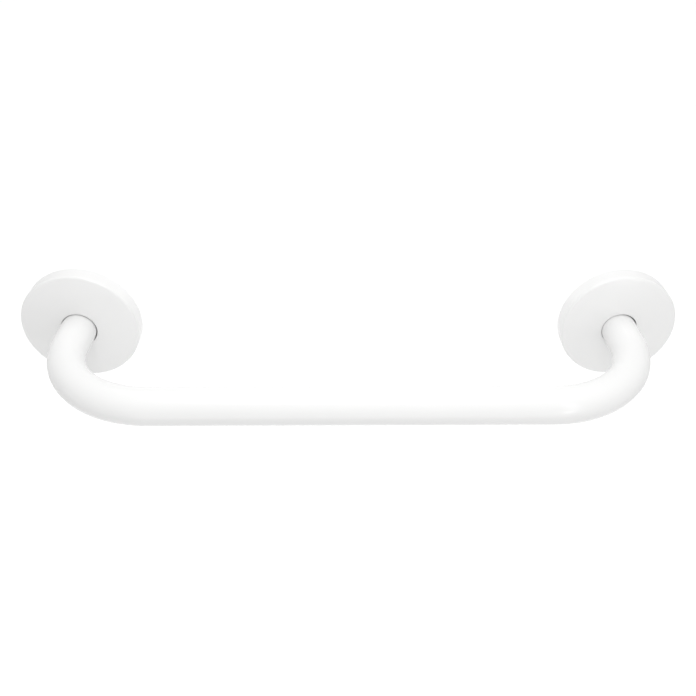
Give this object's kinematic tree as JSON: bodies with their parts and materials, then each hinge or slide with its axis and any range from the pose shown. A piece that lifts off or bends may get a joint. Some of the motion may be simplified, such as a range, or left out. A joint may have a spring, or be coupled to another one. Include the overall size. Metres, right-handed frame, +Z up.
{
  "type": "grab bar",
  "caption": "White bent-tube grab bar with concealed fixings: each leg is welded to a round screw plate, and a domed cover slides along the leg over it.",
  "frame": {"origin": "on the wall plane, midway between the two legs", "axes": "+X along the bar, to the right as seen from the room; +Y into the wall; +Z up"},
  "size_m": [0.485, 0.1175, 0.085],
  "materials": {
    "rail_powder_coat": "gloss white powder coat",
    "plate_powder_coat": "gloss white powder coat",
    "cover_powder_coat": "satin-gloss white powder coat"
  },
  "bodies": {
    "rail": {"rail_tube": "rail_powder_coat", "left_mounting_plate": "plate_powder_coat", "right_mounting_plate": "plate_powder_coat"},
    "left_cover": {"left_cover": "cover_powder_coat"},
    "right_cover": {"right_cover": "cover_powder_coat"}
  },
  "joints": [
    {"name": "left_cover_slide", "type": "slide", "parent": "rail", "child": "left_cover", "axis": [0, -1, 0], "range_m": [0, 0.019]},
    {"name": "right_cover_slide", "type": "slide", "parent": "rail", "child": "right_cover", "axis": [0, -1, 0], "range_m": [0, 0.019]}
  ]
}
